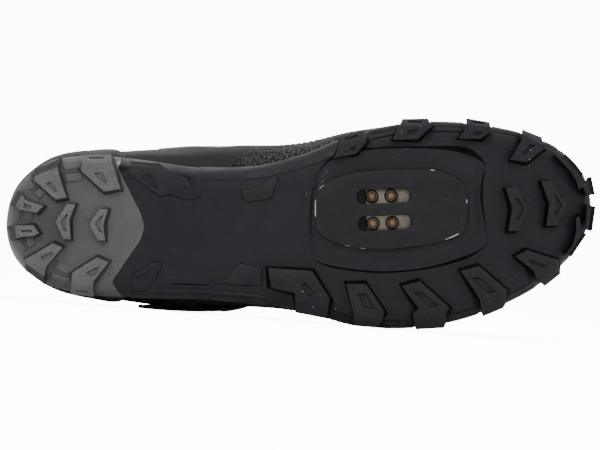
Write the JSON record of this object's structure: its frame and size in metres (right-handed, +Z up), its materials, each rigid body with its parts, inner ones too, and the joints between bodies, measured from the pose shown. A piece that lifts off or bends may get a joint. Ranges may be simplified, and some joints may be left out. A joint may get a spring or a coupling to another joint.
{
  "type": "cycling shoe",
  "caption": "Off-road cycling shoe for the left foot with a lugged rubber sole, slotted cleat pad, straps and a hollow upper, lying on its outer side.",
  "frame": {"origin": "on the floor, under the middle of the shoe's box", "axes": "+X from heel to toe, -Y the way the sole faces, +Z up from the outer side, on which the shoe lies, to the inner side"},
  "size_m": [0.3032, 0.131, 0.1098],
  "materials": {
    "black_rubber": "matt moulded rubber",
    "grey_rubber": "matt moulded rubber",
    "black_plastic": "satin moulded plastic",
    "plate_steel": "dull zinc-plated steel",
    "bush_brass": "worn brass",
    "midsole_rubber": "matt foam rubber",
    "insole_cloth": "knitted cloth",
    "black_leather": "fine-grained synthetic leather and mesh",
    "counter_grey": "textured coated cloth",
    "tongue_cloth": "padded mesh cloth",
    "strap_black": "smooth synthetic leather"
  },
  "bodies": {
    "root": {"outsole": "black_rubber", "heel_tread": "grey_rubber", "cleat_pad": "black_plastic", "cleat_plate": "plate_steel", "cleat_bush_1": "bush_brass", "cleat_bush_2": "bush_brass", "cleat_bush_3": "bush_brass", "cleat_bush_4": "bush_brass", "midsole": "midsole_rubber", "insole": "insole_cloth", "upper": "black_leather", "heel_counter": "counter_grey", "tongue": "tongue_cloth", "instep_strap": "strap_black", "middle_strap": "strap_black", "toe_strap": "strap_black"}
  },
  "joints": []
}
